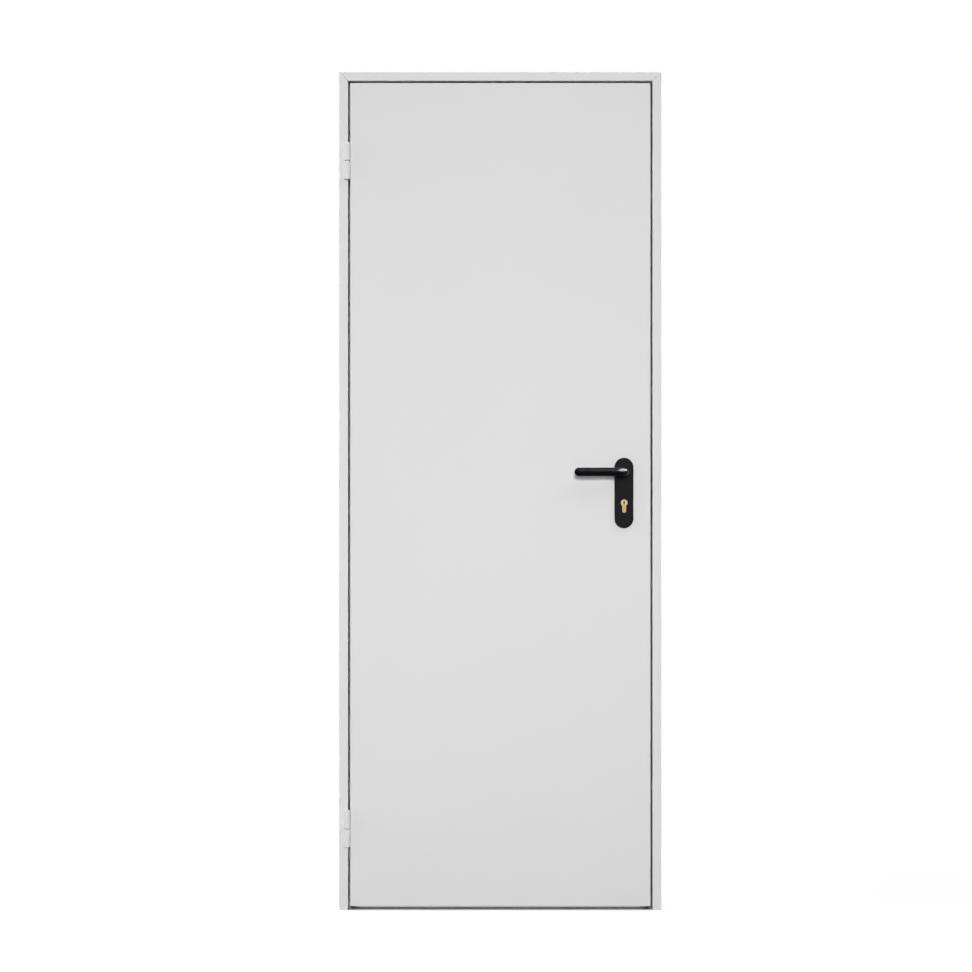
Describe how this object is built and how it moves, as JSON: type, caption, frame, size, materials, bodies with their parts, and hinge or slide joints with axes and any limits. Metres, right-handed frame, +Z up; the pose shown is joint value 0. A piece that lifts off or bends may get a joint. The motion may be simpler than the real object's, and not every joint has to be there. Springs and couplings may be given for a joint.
{
  "type": "steel utility door",
  "caption": "Pale grey flush steel utility door in a folded sheet frame, hung on lift-off hinges, with a black lever handle on a long plate and a brass profile cylinder on each face.",
  "frame": {"origin": "on the hinge jamb's front lip that bears on the side of the wall opening, at floor level, midway along that lip's depth", "axes": "+X across the doorway from the hinge jamb to the lock jamb, +Y back through the wall, away from the side the leaf opens towards, +Z up"},
  "size_m": [0.79, 0.1645, 2.055],
  "materials": {
    "frame_paint": "matte",
    "leaf_paint": "matte",
    "hinge_paint": "satin",
    "seal_rubber": "matte",
    "bare_steel": "satin",
    "cylinder_brass": "satin",
    "black_nylon": "satin",
    "honeycomb": "matte"
  },
  "bodies": {
    "frame": {"hinge_jamb_face": "frame_paint", "hinge_jamb_rebate": "frame_paint", "hinge_jamb_stop": "frame_paint", "lock_jamb_face": "frame_paint", "lock_jamb_rebate_lower": "frame_paint", "lock_jamb_strike_surround": "frame_paint", "lock_jamb_rebate_upper": "frame_paint", "lock_jamb_stop": "frame_paint", "head_face": "frame_paint", "head_rebate": "frame_paint", "head_stop": "frame_paint", "hinge_side_seal": "seal_rubber", "lock_side_seal": "seal_rubber", "head_seal": "seal_rubber", "strike_plate": "bare_steel", "strike_screws": "bare_steel", "keep_box": "black_nylon", "top_hinge_frame_wing": "hinge_paint", "top_hinge_pin": "bare_steel", "top_hinge_washer": "black_nylon", "bottom_hinge_frame_wing": "hinge_paint", "bottom_hinge_pin": "bare_steel", "bottom_hinge_washer": "black_nylon"},
    "leaf": {"leaf_front_skin": "leaf_paint", "leaf_back_skin": "leaf_paint", "leaf_core": "honeycomb", "top_hinge_leaf_wing": "hinge_paint", "bottom_hinge_leaf_wing": "hinge_paint", "lock_case": "bare_steel", "lock_faceplate": "bare_steel", "faceplate_screws": "bare_steel", "latch_bolt": "bare_steel", "dead_bolt": "bare_steel", "outside_plate": "black_nylon", "inside_plate": "black_nylon", "lock_cylinder": "cylinder_brass"},
    "lever_handle": {"outside_lever": "black_nylon", "inside_lever": "black_nylon", "lever_spindle": "bare_steel"},
    "outside_plug": {"outside_plug": "cylinder_brass"},
    "inside_plug": {"inside_plug": "cylinder_brass"}
  },
  "joints": [
    {"name": "leaf_swing", "type": "hinge", "parent": "frame", "child": "leaf", "pos_m": [0.0205, -0.015, 1.018], "axis": [0, 0, -1], "range_deg": [0, 170]},
    {"name": "lever_turn", "type": "hinge", "parent": "leaf", "child": "lever_handle", "pos_m": [0.6978, 0.0155, 1.074], "axis": [0, -1, 0], "range_deg": [0, 40], "stiffness_Nm_per_rad": 1, "springref_deg": -17.19},
    {"name": "outside_plug_turn", "type": "hinge", "parent": "leaf", "child": "outside_plug", "pos_m": [0.6978, 0.0155, 0.999], "axis": [0, -1, 0], "continuous": true},
    {"name": "inside_plug_turn", "type": "hinge", "parent": "leaf", "child": "inside_plug", "pos_m": [0.6978, 0.0155, 0.999], "axis": [0, 1, 0], "continuous": true}
  ]
}
